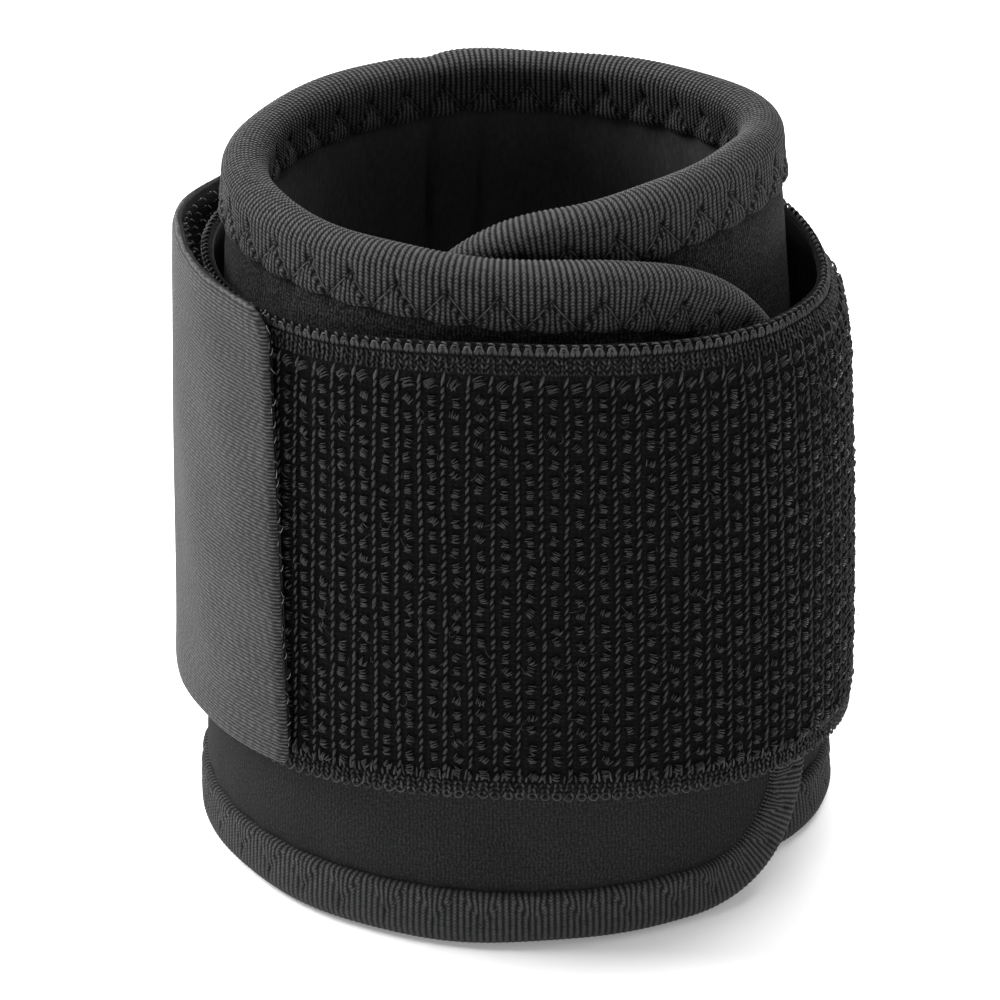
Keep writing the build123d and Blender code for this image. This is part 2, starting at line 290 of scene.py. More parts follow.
class Shader:
    """A Principled material with short calls for the nodes that drive it."""

    def __init__(self, name, light, roughness, sheen, specular):
        self.material = bpy.data.materials.new(name)
        self.material.use_nodes = True
        self.tree = self.material.node_tree
        principled = self.tree.nodes["Principled BSDF"]
        self.inputs = principled.inputs
        set_inputs(principled, {"Base Color": grey(light), "Roughness": roughness,
                                "Specular IOR Level": specular, "Sheen Weight": sheen,
                                "Sheen Roughness": 0.5})

    def feed(self, socket, value):
        if isinstance(value, Value):
            self.tree.links.new(value.socket, socket)
        else:
            socket.default_value = value

    def node(self, kind, output, inputs, **settings):
        """A new node, with its inputs by name or number. Gives one of its outputs."""
        node = self.tree.nodes.new(f"ShaderNode{kind}")
        for name, value in settings.items():
            setattr(node, name, value)
        for name, value in inputs.items():
            self.feed(node.inputs[name], value)
        return Value(self, node.outputs[output])

    def math(self, operation, first, second=0.0):
        return self.node("Math", 0, {0: first, 1: second}, operation=operation)

    def weave(self):
        """The surface's own coordinates in mm: along the piece, across it, and a mark, which
        carries painted shade or light on the tape, jersey, lining and webbing.
        """
        self.vector = self.node("Attribute", "Vector", {}, attribute_name="weave")
        return [self.node("SeparateXYZ", i, {0: self.vector}) for i in range(3)]

    def place(self):
        return self.node("TexCoord", "Object", {})

    def height_above_floor(self):
        return self.node("SeparateXYZ", 2, {0: self.place()})

    def noise(self, where, scale, detail, roughness=0.6):
        return self.node("TexNoise", "Fac", {"Vector": where, "Scale": scale, "Detail": detail,
                                             "Roughness": roughness})

    def patches(self, scale, detail, roughness=0.6):
        """Noise over the surface's own coordinates, which scale stretches one by one."""
        where = self.node("Mapping", 0, {"Vector": self.vector, "Scale": scale})
        return self.noise(where, 1.0, detail, roughness)

    def wave(self, value, pitch):
        """Cosine of the given pitch, from 0 to 1."""
        return self.math("COSINE", value * (2 * math.pi / pitch)) * 0.5 + 0.5

    def greys(self, tone, *stops):
        """Colours the surface by its tone, through greys given as position and lightness."""
        node = self.tree.nodes.new("ShaderNodeValToRGB")
        self.feed(node.inputs[0], tone)
        points = node.color_ramp.elements
        while len(points) < len(stops):
            points.new(0.5)
        for point, (position, light) in zip(points, stops):
            point.position = position
            point.color = grey(light)
        self.tree.links.new(node.outputs["Color"], self.inputs["Base Color"])

    def roughness(self, value):
        self.feed(self.inputs["Roughness"], value)

    def bump(self, height, depth):
        normal = self.node("Bump", "Normal", {"Height": height, "Distance": depth * MM,
                                              "Strength": 1.0})
        self.feed(self.inputs["Normal"], normal)


def binding_material():
    """Rib-knit tape: each wale a row of chevron stitches, with painted shade in the gaps between
    wales.

    Where the tape meets the floor its ribs are pressed even."""
    m = Shader("binding_tape", 0.05, 0.85, 0.02, specular=0.10)
    along_tape, across, mark = m.weave()
    wale = m.math("ABSOLUTE", m.math("FRACT", along_tape * (1 / WALE) + 0.5) - 0.5)
    body = 1.0 - m.math("POWER", wale * 2.0, 1.6)
    stitch = m.wave(wale * (2.0 * STITCH_PITCH) + across, STITCH_PITCH)
    grain = m.patches((2.6, 2.6, 2.6), 4.0)
    height = body * (stitch * 0.50 + 0.55) + (grain * 0.9 - 0.30)
    pressed = (1.0 - m.height_above_floor() * 80.0).clamped()
    height = pressed * (0.70 - height) * 0.72 + height
    # Colour follows the height, so gaps and grooves get painted shade; mark multiplies in the
    # painted shade of the tape's folds and seam.
    m.greys(height * mark, (0.22, 0.0010), (0.55, 0.010), (0.95, 0.072))
    m.roughness(grain * 0.2 + 0.75)
    m.bump(height, 0.17)
    return m.material


def jersey_material():
    """Fine-gauge jersey: faint upright wales and a speckle of yarn, stronger higher up."""
    m = Shader("band_jersey", 0.01, 0.9, 0.012, specular=0.05)
    along_band, up, mark = m.weave()
    bend = m.patches((0.5, 0.9, 1.0), 3.0)
    wale = m.wave(bend * 0.9 + along_band, 0.42)
    course = m.wave(wale * 0.1 + up, 0.36)
    speckle = m.patches((3.6, 3.0, 1.0), 3.0, 0.8) * 5.0 - 2.05
    cloud = m.patches((0.09, 0.05, 1.0), 3.0)
    height = wale * (course * 0.5 + 0.5) * 0.5 + speckle * 0.65
    tone = height * 0.75 + cloud * 0.35
    mean_tone = 0.42
    upper = (m.height_above_floor() * 30.0 - 0.7).clamped()
    tone = (tone - mean_tone) * (upper * 1.2 + 0.6) + mean_tone
    # mark carries the jersey's painted shade beside the tape and towards the top.
    m.greys(tone * mark, (0.1, 0.003), (0.45, 0.010), (1.0, 0.040))
    m.bump(height, 0.06)
    return m.material


def lining_material():
    """Brushed lining: dark, with a soft nap lying mostly across."""
    m = Shader("brushed_lining", 0.006, 0.95, 0.03, specular=0.12)
    mark = m.weave()[2]
    nap = m.patches((1.6, 0.8, 1.0), 5.0, 0.75) * 2.0 - 0.5
    cloud = m.patches((0.20, 0.10, 1.0), 4.0)
    # mark carries the lining's painted shade beside the tape and in the seam dents.
    tone = (nap * 0.5 + cloud * 0.5) * mark
    m.greys(tone, (0.15, 0.015), (0.5, 0.028), (0.9, 0.046))
    m.bump(nap, 0.10)
    return m.material


def webbing_material():
    """Woven elastic: close ribs across the strap."""
    m = Shader("elastic_webbing", 0.002, 0.9, 0.0, specular=0.04)
    along_strap, up, mark = m.weave()
    rib, cord = m.wave(up, 0.55), m.wave(along_strap, PAIR / 4)
    height = rib * (cord * 0.4) + m.patches((2.5, 2.5, 1.0), 3.0)
    # mark carries the webbing's painted shade under the pile and the painted light on its inner
    # face.
    m.greys(height * (mark * 0.4), (0.12, 0.0028), (0.28, 0.0078), (0.9, 0.13))
    m.bump(height, 0.12)
    return m.material


def yarn_material(name, dark, light, gloss=0.45):
    """Filament yarn: tone changes from strand to strand and a little along each."""
    m = Shader(name, light, 0.5, 0.0, specular=gloss)
    shade = m.weave()[0]
    fine = m.noise(m.place(), 2600.0, 2.0)
    m.greys(shade * 0.7 + fine * 0.3, (0.1, dark), (0.85, light))
    m.roughness(fine * 0.25 + 0.45)
    return m.material


def tab_material():
    """Soft grey knit: fine level ribs broken into short stitches."""
    m = Shader("tab_knit", 0.07, 0.9, 0.08, specular=0.2)
    along_tab, up, _ = m.weave()
    rib_pitch, dash_pitch = 0.41, 1.3
    wander = m.patches((0.35, 0.8, 1.0), 2.0)
    level = up + wander * 0.35
    rib = m.wave(level, rib_pitch)
    row = m.math("FLOOR", m.math("DIVIDE", level, rib_pitch))
    shift = m.node("TexWhiteNoise", "Value", {"W": row}, noise_dimensions="1D")
    dash = m.wave(along_tab + (wander * 2.0 + shift * dash_pitch), dash_pitch)
    grain = m.patches((3.2, 3.2, 1.0), 4.0, 0.7) * 2.0 - 0.5
    height = rib * (dash * 0.45 + 0.5) * 0.8 + grain * 0.42
    cloud = m.patches((0.10, 0.10, 1.0), 3.0)
    m.greys(height * 0.8 + cloud * 0.3, (0.28, 0.001), (0.55, 0.014), (0.88, 0.066))
    m.bump(height, 0.16)
    return m.material


def hook_material():
    """Moulded strip: matt, with a fine grain."""
    m = Shader("hook_field", 0.006, 0.9, 0.0, specular=0.04)
    grain = m.noise(m.place(), 1400.0, 3.0)
    m.greys(grain, (0.3, 0.008), (0.7, 0.020))
    m.roughness(grain * 0.15 + 0.8)
    m.bump(grain, 0.06)
    return m.material


WALE = 0.70                 # rib pitch of the binding tape
STITCH_PITCH = 0.40         # knit stitches along each rib
ZIGZAG = 5.4                # pitch of the zigzag seam
PAIR = 2.57                 # one chain column and one bead column of the loop pile

BINDING_TAPE = binding_material()
JERSEY_KNIT = jersey_material()
BRUSHED = lining_material()
ELASTIC = webbing_material()
PILE_YARN = yarn_material("loop_pile", 0.0025, 0.020, 0.30)
SELVEDGE_YARN = yarn_material("selvedge_yarn", 0.003, 0.042, 0.25)
THREAD = yarn_material("sewing_thread", 0.003, 0.036)
DARK_THREAD = yarn_material("anchor_thread", 0.003, 0.009, 0.2)
TAB_KNIT = tab_material()
HOOK_PLASTIC = hook_material()
HOOK_YARN = yarn_material("hook_yarn", 0.02, 0.12)
FRINGE = yarn_material("tab_fringe", 0.05, 0.12)


# ---- how pieces follow the bodies
def middle(first, second):
    return (first + second) / 2


def band_middle(angle):
    return band_point(band_run.length(angle), BAND_WIDTH / 2, -BAND_THICKNESS / 2)


def strap_middle(angle):
    return strap_point(strap_run.length(angle), STRAP_WIDTH / 2, WEBBING / 2)


class Stretch:
    """A length of a winding that rides on one body, or lies between two, where its pieces are only
    fixed in place and not bent from bend_from on.
    Its pieces stand for the nodes whose names start with prefix."""

    def __init__(self, start, end, bodies, prefix, bend_from=None):
        self.start, self.end, self.bodies, self.prefix = start, end, bodies, prefix
        self.bend_from = start if bend_from is None else bend_from

    def lie_on(self, run, middle_at, tag):
        """Lays it on a winding, whose middle surface is middle_at, and tags its pieces."""
        self.reach = run.length(self.start), run.length(self.end)
        self.middle_at, self.tag = middle_at, tag

    def attach(self, piece, *parts):
        if len(self.bodies) == 1:
            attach(piece, self.bodies[0])
        else:
            first, last = self.middle_at(self.bend_from), self.middle_at(self.end)
            first * MM
            last * MM
            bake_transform(piece)
        if self.prefix and parts:
            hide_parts(*(f"{self.prefix}_{part}" for part in parts))


FLAP_MIDDLE, END_MIDDLE = middle(FLAP_HINGE, FRONT_HINGE), middle(FRONT_HINGE, BAND_END)
TAB_MIDDLE = middle(TAB_HINGE, PEEL_HINGE)
FLAP_FROM = 470                         # the band's flap bends from here on
TAB_FROM, TAB_TO = 490, 568             # the tab bends between these
ROOT_END, END_FROM = 114.0, 447.0       # the strap bends between these
STRAP_CUTS = [ROOT_END, *(middle(a, b) for a, b in zip(STRAP_HINGES, STRAP_HINGES[1:])), END_FROM]
STRAP_BODIES = ["band", "strap_1", "strap_2", "strap_3", "strap_4", "strap_end"]
BAND_STRETCHES = [
    Stretch(BAND_START - 3, FLAP_FROM, ("band",), "band"),
    Stretch(FLAP_FROM, FLAP_MIDDLE, ("band", "flap_side"), "flap_side"),
    Stretch(FLAP_MIDDLE, END_MIDDLE, ("flap_side", "flap_front"), "flap_front"),
    Stretch(END_MIDDLE, BAND_END + 6, ("flap_front",), None),
]
STRAP_STRETCHES = [
    Stretch(STRAP_START, STRAP_CUTS[0], ("band",), "strap_root"),
    *(Stretch(STRAP_CUTS[i], STRAP_CUTS[i + 1], STRAP_BODIES[i:i + 2], f"strap_{i + 1}")
      for i in range(4)),
    Stretch(STRAP_CUTS[4], STRAP_CUTS[5], ("strap_4", "strap_end"), None),
    Stretch(STRAP_CUTS[5], STRAP_END, ("strap_end",), "strap_end"),
]
TAB_STRETCHES = [
    Stretch(TAB_START, TAB_FROM, ("strap_end",), "tab_root"),
    Stretch(TAB_FROM, TAB_MIDDLE, ("strap_end", "tab_base"), "tab_base"),
    Stretch(TAB_MIDDLE, TAB_TO, ("tab_base", "tab_tip"), "tab_tip", bend_from=PEEL_HINGE - 1),
    Stretch(TAB_TO, TAB_END + TAB_END_SLANT, ("tab_tip",), None),
]
for winding, surface, lengths in ((band_run, band_middle, BAND_STRETCHES),
                                  (strap_run, strap_middle, STRAP_STRETCHES),
                                  (strap_run, strap_middle, TAB_STRETCHES)):
    for number, length in enumerate(lengths):
        length.lie_on(winding, surface, f"{length.bodies[-1]}_{number}")


# ---- the binding
SAMPLES = 3                 # of the tape's edge in each rib
RIM = 2.4                   # how far in from the edge its rounded rim reaches
ZIG_LOW, ZIG_HIGH = 0.2, 3.4
ZIG_SLOPE = 0.59            # turns a height over the seam into a distance square to it


def outline(step):
    """The band's flat outline, walked counter-clockwise from the lower corner of its inner
    end: positions s, z and inward normals."""
    low, high = band_run.length(BAND_START), band_run.length(BAND_END)
    corners = [(INNER_CORNERS[0], False, False, 180), (OUTER_CORNERS[0], True, False, -90),
               (OUTER_CORNERS[1], True, True, 0), (INNER_CORNERS[1], False, True, 90)]
    arcs = []
    for radius, outer_end, upper, first in corners:
        centre = (high - radius if outer_end else low + radius,
                  BAND_WIDTH - radius if upper else radius)
        turn = np.radians(np.linspace(first, first + 90, int(radius * 1.6 / step)))
        outward = np.stack([np.cos(turn), np.sin(turn)], -1)
        arcs.append((np.array(centre) + radius * outward, -outward))
    spots, inward = [], []
    for (arc, normals), (after, _) in zip(arcs, arcs[1:] + arcs[:1]):
        gap = after[0] - arc[-1]
        share = np.linspace(0, 1, int(np.linalg.norm(gap) / step))[1:-1, None]
        spots += [arc, arc[-1] + gap * share]
        inward += [normals, np.repeat(normals[-1:], len(share), axis=0)]
    return np.concatenate(spots), np.concatenate(inward)


def even_outline(step):
    """The outline again, in equal steps of real length along the edge."""
    spots, inward = outline(0.1)
    real = band_point(spots[:, 0], spots[:, 1], 0.0)
    run = np.r_[0, np.cumsum(np.linalg.norm(np.diff(real, axis=0), axis=1))]
    u = np.arange(0, run[-1], step)
    pick = [np.interp(u, run, column) for column in (*spots.T, *inward.T)]
    return u, np.stack(pick[:2], -1), np.stack(pick[2:], -1)


def tape_profile():
    """Distance in from the edge, depth from the jersey face and length across the tape."""
    face = np.linspace(BINDING_DEPTH, RIM + 0.2, 9)
    lining = np.linspace(RIM + 0.2, BINDING_DEPTH, 7)
    turn = np.radians(np.linspace(0, 180, 11)[1:-1])
    rim_q = RIM - RIM * np.sin(turn)
    rim_d = -BAND_THICKNESS / 2 + (BAND_THICKNESS / 2 + BINDING) * np.cos(turn)
    q = np.r_[BINDING_DEPTH + 0.1, face, rim_q, lining, BINDING_DEPTH + 0.1]
    d = np.r_[-0.3, np.full(len(face), BINDING), rim_d,
              np.full(len(lining), -BAND_THICKNESS - BINDING), -BAND_THICKNESS + 0.3]
    d[1], d[-2] = 0.2, -BAND_THICKNESS - 0.2
    across = np.r_[0, np.cumsum(np.hypot(np.diff(q), np.diff(d)))]
    return q, d, across


def fan_centre(u):
    return (np.floor(u / ZIGZAG) + 0.5) * ZIGZAG


def zig_height(u):
    """How far the zigzag seam stands from the tape's edge, along the seam."""
    return ZIG_LOW + (ZIG_HIGH - ZIG_LOW) * (1 - np.abs(2 * np.mod(u / ZIGZAG, 1) - 1))


def under_seam(u, w):
    """1 well inside a fan, between the seam and the tape's edge, and 0 past the seam."""
    share = np.clip((zig_height(u) - w) / 1.1, 0, 1)
    return share * share * (3 - 2 * share)


def seam_line(u, w, width):
    """1 on the zigzag seam, falling away over width to either side."""
    return np.exp(-((w - zig_height(u)) * ZIG_SLOPE / width) ** 2) * (w < ZIG_HIGH + 1.2)


def gathered(u, w):
    """Length along the tape with the ribs of each fan drawn together at its needle hole."""
    centre = fan_centre(u)
    return centre + (u - centre) * (1 + 0.8 * under_seam(u, w) * np.clip(w / ZIG_HIGH, 0, 1))


def tape_relief(u, w, softness):
    """Height of the tape over its plain profile: ribs, puffed fans, seam groove and holes, on
    a slow unevenness."""
    rib = np.cos(2 * np.pi * gathered(u, w) / WALE)
    groove = seam_line(u, w, 0.30) * softness
    hole = np.exp(-((u - fan_centre(u)) / 0.5) ** 2 - ((w - ZIG_HIGH) / 0.55) ** 2)
    puff = 0.20 * under_seam(u, w) + 0.14 * np.clip((w - ZIG_HIGH) / 2.0, 0, 1)
    slow = (0.10 * np.sin(u / 7.3 + 1.0) + 0.07 * np.sin(u / 3.1 + 0.4)
            + 0.05 * np.sin(u / 11.9 + 2.0))
    knit = softness * (0.08 * rib + puff - 0.24 * groove - 0.50 * hole)
    return knit + slow * np.clip(w / 4, 0, 1)


def tape_painted_shade(u, w, lining_side, softness):
    """Painted shade on the tape: dark along its seam groove, between the fans and below the rim on
    the lining side, and a little below the rim on its face.
    """
    fan = np.exp(-((u - fan_centre(u)) / 1.2) ** 2) * np.clip(1.5 - w / 2.8, 0, 1)
    near_rim = np.clip((w - 4.3) / 1.9, 0, 1)
    fold = 0.80 + 0.20 * np.maximum(fan, near_rim)
    face = 0.92 + 0.08 * near_rim
    seam = 0.35 * (2 * softness - 1) * seam_line(u, w, 0.35)
    return (1 - seam) * np.where(lining_side, fold, face)


def seam_softness(z):
    """The lower edge's seam is pulled less hard than the upper one's."""
    return 0.55 + 0.45 * np.clip((z - 8) / 30, 0, 1)


def tape_surface(u, spots, inward, q, d):
    """Points of the tape for edge samples (rows) and profile samples (columns)."""
    q, d = (np.broadcast_to(x, (len(u), len(x))) for x in (q, d))
    along_s, z = spots.T[..., None]
    w = BINDING_DEPTH - q
    soft = seam_softness(z)
    dent = 0.45 * np.exp(-((along_s - band_run.length(ANCHOR_LINES[1])) / 2.2) ** 2) * (z > 40)
    relief = tape_relief(u[:, None], w, soft) - dent * np.clip(w / 4, 0, 1)
    relief = np.where(w < -0.02, 0.0, relief)
    scallop = -0.15 * (2 * soft - 1) * np.cos(2 * np.pi * u / ZIGZAG)[:, None]
    rim = np.clip((RIM - q) / RIM, 0, 1)
    facing = np.sign(d + 2) * np.sqrt(np.clip(1 - rim ** 2, 0, 1))
    facing = np.where(rim > 0.97, d / 2.5 + 0.8, facing)
    q = q + scallop * np.exp(-(w / 1.2) ** 2) - relief * rim
    flat = spots[:, None] + inward[:, None] * q[..., None]
    return band_point(flat[..., 0], flat[..., 1], d + relief * facing)


def make_binding():
    u, spots, inward = even_outline(WALE / SAMPLES)
    q, d, across = tape_profile()
    surface = tape_surface(u, spots, inward, q, d)
    w = np.minimum(BINDING_DEPTH - q, ZIG_HIGH + 2)
    # tone is the tape's painted shade, carried to the material as the weave's third value.
    tone = tape_painted_shade(u[:, None], BINDING_DEPTH - q, d < -BAND_THICKNESS / 2,
                     seam_softness(spots[:, 1])[:, None])
    weave = np.stack(np.broadcast_arrays(gathered(u[:, None], w), across, tone), -1)
    # The lengths of tape meet in the grooves between ribs.
    groove = (np.arange(len(u)) + 2) // SAMPLES * SAMPLES - 2
    angle = band_run.angle(spots[np.clip(groove, 0, len(u) - 1), 0])
    for stretch in BAND_STRETCHES:
        split = stretch.prefix == "flap_side"
        parts = ("binding_lower", "binding_upper") if split else ("binding",)
        for k, rows in enumerate(runs_of((angle >= stretch.start) & (angle < stretch.end))):
            piece = skin(f"binding_{stretch.tag}_{k}", surface[rows], BINDING_TAPE,
                         weave[rows])
            stretch.attach(piece, *(() if k else parts))
            make_zigzag(f"zigzag_{stretch.tag}_{k}", u[rows], spots[rows], inward[rows], stretch)


def runs_of(inside):
    """The rows of each unbroken run in a closed ring of flags, and the row after it."""
    count = len(inside)
    starts = np.flatnonzero(inside & ~np.roll(inside, 1))
    ends = np.flatnonzero(inside & ~np.roll(inside, -1))
    ends = np.concatenate([ends, ends + count])
    return [np.arange(i, ends[ends >= i][0] + 2) % count for i in starts]


def make_zigzag(name, u, spots, inward, stretch):
    """The zigzag thread on both faces of the tape, one short strand from needle to needle."""
    half = ZIGZAG / 2
    if u[-1] < u[0]:
        u = np.where(u < u[0], u + u.max() + WALE / SAMPLES, u)
    k = np.arange(math.ceil(u[0] / half), math.floor(u[-1] / half))[:, None]
    if not len(k):
        return
    t = np.linspace(0, 1, 7)
    along_u = (k + t) * half
    w = zig_height(along_u)
    edge_s, edge_z, in_s, in_z = (np.interp(along_u, u, c) for c in (*spots.T, *inward.T))
    proud = 0.02 + 0.07 * np.sin(np.pi * t) * np.where(k % 2, 1.0, 0.4)
    proud = proud - 0.16 * np.clip((22 - edge_z) / 10, 0, 1)
    height = tape_relief(along_u, w, seam_softness(edge_z)) + proud
    q = BINDING_DEPTH - w
    s, z = edge_s + in_s * q, edge_z + in_z * q
    lines, outward = [], []
    for surface, sign in ((BINDING, 1.0), (-BAND_THICKNESS - BINDING, -1.0)):
        out = surface + sign * height
        lines.append(band_point(s, z, out))
        outward.append(unit(band_point(s[:, 3], z[:, 3], out[:, 3] + sign) - lines[-1][:, 3]))
    lines = np.concatenate(lines)
    tones = RANDOM.uniform(0.5, 1.0, len(lines))
    # Painted shade: threads on the lining side are made five times darker. Threads are also darker
    # towards the bottom.
    tones[len(k):] *= 0.2
    tones *= 0.3 + 0.7 * np.clip((lines[:, 3, 2] - 12) / 10, 0, 1)
    piece = strands(name, lines, 0.085, 5, THREAD, np.concatenate(outward), tones)
    stretch.attach(piece)


# ---- the band's faces
ANCHOR_LINES = (458.0, 469.0)
ANCHOR_PULL = 0.8


def seam_pull(s, z, depth):
    """Dent along the strap's anchor seams, strongest under the strap."""
    pull = 0.0
    ends = np.clip((z - 8) / 6, 0, 1) * np.clip((75 - z) / 6, 0, 1)
    for angle in ANCHOR_LINES:
        across = (s - band_run.length(angle) - 0.5 * np.sin(z / 6.0 + angle)) / 0.7
        pull = pull + depth * np.exp(-across ** 2) * ends * (0.8 + 0.2 * np.sin(z / 3.7 + angle))
    return pull


def core_limits(z, trim):
    """Lowest and highest s of the band's core at height z, inside the rounded outline."""
    low, high = band_run.length(BAND_START), band_run.length(BAND_END)

    def corner(z_from_edge, radius):
        reach = np.clip(radius - np.maximum(z_from_edge, trim), 0, radius - trim)
        return radius - np.sqrt((radius - trim) ** 2 - reach ** 2)

    left = np.maximum(corner(z, INNER_CORNERS[0]), corner(BAND_WIDTH - z, INNER_CORNERS[1]))
    right = np.maximum(corner(z, OUTER_CORNERS[0]), corner(BAND_WIDTH - z, OUTER_CORNERS[1]))
    return low + np.maximum(left, trim), high - np.maximum(right, trim)


def at_depth(depth):
    return lambda s, across: np.full(s.shape, depth)


def slab(name, s_low, s_high, across, outer, inner, point, material, slot, step=1.2,
         tone=None, inner_painted_light=1.0):
    """Closed slab from s_low to s_high at each position across, between the depths outer and
    inner. These and tone, how light it is, are functions of s and across; where given, tone is
    painted shade. The last argument is how much lighter its inner face is painted."""
    s_low, s_high = (np.broadcast_to(end, across.shape) for end in (s_low, s_high))
    count = max(3, int((s_high.max() - s_low.min()) / step) + 1)
    fine = 0.03 / (count * step)
    share = np.r_[0, fine, np.linspace(0, 1, count)[1:-1], 1 - fine, 1][:, None]
    s = s_low[None] * (1 - share) + s_high[None] * share
    v = np.broadcast_to(across, s.shape)
    front, back = point(s, v, outer(s, v)), point(s, v, inner(s, v))
    loops = np.concatenate([front, back[:, ::-1]], axis=1)
    mark = np.stack([s, v, np.ones_like(s) if tone is None else tone(s, v)], -1)
    weave = np.concatenate([mark, mark[:, ::-1] * (1, 1, inner_painted_light)], axis=1)
    return skin(name, loops, material, weave)


def make_band_faces():
    """Jersey face with the outer foam, and brushed lining with the inner foam."""
    trim = 4.6
    near = BINDING_DEPTH + np.array([0.0, 0.35, 0.8, 1.5])
    z = np.r_[trim, near, np.linspace(near[-1] + 2, BAND_WIDTH - near[-1] - 2, 28),
              BAND_WIDTH - near[::-1], BAND_WIDTH - trim]
    lowest, highest = core_limits(z, trim)
    split = at_depth(-CORE_SPLIT)

    def beside_tape(v, reach):
        """1 at the tape's edges, falling away over reach."""
        low = np.exp(-np.maximum(v - BINDING_DEPTH, 0) / reach)
        return low + np.exp(-np.maximum(BAND_WIDTH - BINDING_DEPTH - v, 0) / reach)

    def pucker(s, v):
        return 0.10 * np.cos(2 * np.pi * s / ZIGZAG) * beside_tape(v, 2.5)

    def face(s, v):
        return -pucker(s, v) - 0.45 * beside_tape(v, 0.7) + 0.12 * np.sin(s / 9.0 + v / 17.0)

    def lining(s, v):
        swell = 0.10 * np.sin(s / 7.0 + 1.3) * np.sin(v / 11.0)
        dents = pucker(s, v) + 0.25 * beside_tape(v, 0.8) + seam_pull(s, v, ANCHOR_PULL)
        return -BAND_THICKNESS + dents + swell

    # Painted shade on the jersey: darker beside the tape's edges and towards the top of the band.
    def jersey_painted_shade(s, v):
        return (1 - 0.5 * beside_tape(v, 0.6)) * (1 - 0.2 * np.clip((v - 40) / 20, 0, 1))

    # Painted shade on the lining: darker beside the tape's edges and in the dents of the anchor
    # seams.
    def lining_painted_shade(s, v):
        return 1 - 0.5 * beside_tape(v, 0.9) - 0.6 * seam_pull(s, v, 1.0)

    for stretch in BAND_STRETCHES:
        start, end = stretch.reach
        s_low, s_high = np.maximum(lowest, start), np.minimum(highest, end)
        jersey = slab(f"jersey_face_{stretch.tag}", s_low, s_high, z, face, split, band_point,
                      JERSEY_KNIT, "band_jersey", 1.1, jersey_painted_shade)
        inner = slab(f"brushed_lining_{stretch.tag}", s_low, s_high, z, split, lining, band_point,
                     BRUSHED, "brushed_lining", 0.9, lining_painted_shade)
        for piece, parts in ((jersey, ("jersey", "foam")), (inner, ("lining",))):
            stretch.attach(piece, *parts)


# ---- the strap
CHAIN_STEP = 0.95
BEAD_STEP = 1.72
BEAD_FILAMENTS, BEAD_SPACING, BEAD_YARN = 5, 0.205, 0.098
PILE_TOP, PILE_BOTTOM = 48.4, 2.6
FUZZ_PER_MM = 3.0


def from_edge(across):
    return np.minimum(across, STRAP_WIDTH - across)


def make_webbing(stretch):
    v = np.r_[0.0, 0.15, np.linspace(0.5, STRAP_WIDTH - 0.5, 24), STRAP_WIDTH - 0.15, STRAP_WIDTH]

    def thinning(across):
        return 0.38 * (1 - np.clip(from_edge(across) / 0.5, 0, 1))

    def outer(s, across):
        return WEBBING * (1 - thinning(across))

    def inner(s, across):
        return WEBBING * thinning(across)

    # Painted shade on the webbing: darker under the pile and darkest at its very edges; its inner
    # face is painted five times lighter, as painted light.
    def webbing_painted_shade(s, across):
        under_pile = (across > PILE_BOTTOM) & (across < PILE_TOP)
        return np.where(from_edge(across) < 0.4, 0.3, np.where(under_pile, 0.55, 1.0))

    piece = slab(f"webbing_{stretch.tag}", *stretch.reach, v, outer, inner, strap_point, ELASTIC,
                 "elastic_webbing", 1.3, webbing_painted_shade, inner_painted_light=5.0)
    stretch.attach(piece, "webbing")
    return piece


def strap_strands(name, s, v, out, radii, sides, stretch, shade, material=PILE_YARN,
                  parts=()):
    """Strands on the strap's face. s, v and out are arrays of strands x knots."""
    lines = strap_point(s, v, out)
    outward = strap_point(s[:, 0], v[:, 0], out[:, 0] + 1.0) - lines[:, 0]
    piece = strands(f"{name}_{stretch.tag}", lines, radii, sides, material, outward, shade)
    stretch.attach(piece, *parts)
    return piece


def columns_in(stretch, pitch, offset=0.0):
    first, last = (math.ceil((limit - offset) / pitch) for limit in stretch.reach)
    return offset + pitch * np.arange(first, last)


def make_chains(stretch):
    """Twisted chain columns: slanting spindle strokes, each rising over the next."""
    u, v = grid(columns_in(stretch, PAIR), np.arange(PILE_BOTTOM, PILE_TOP, CHAIN_STEP))
    u = u + 0.10 * np.sin(v / 6.0 + u * 3.1) + RANDOM.normal(0, 0.05, u.shape)
    v = v + RANDOM.normal(0, 0.10, v.shape)
    top = v > PILE_TOP - CHAIN_STEP
    t = np.linspace(-1, 1, 5)
    long = np.where(top, 0.95, 0.68) + RANDOM.normal(0, 0.07, u.shape)
    slant = 0.27 + RANDOM.normal(0, 0.05, u.shape)
    s = u[:, None] + slant[:, None] * t
    v = v[:, None] + long[:, None] * t
    out = WEBBING + 0.14 + 0.26 * (1 - t ** 2) + 0.10 * t + RANDOM.normal(0, 0.04, (len(u), 1))
    radii = np.array([0.15, 0.22, 0.15]) * RANDOM.uniform(0.8, 1.1, (len(u), 1))
    shade = np.where(top, 0.95, RANDOM.uniform(-0.05, 0.42, len(u)))
    return strap_strands("chains", s, v, out, radii, 4, stretch, shade, parts=["pile"])


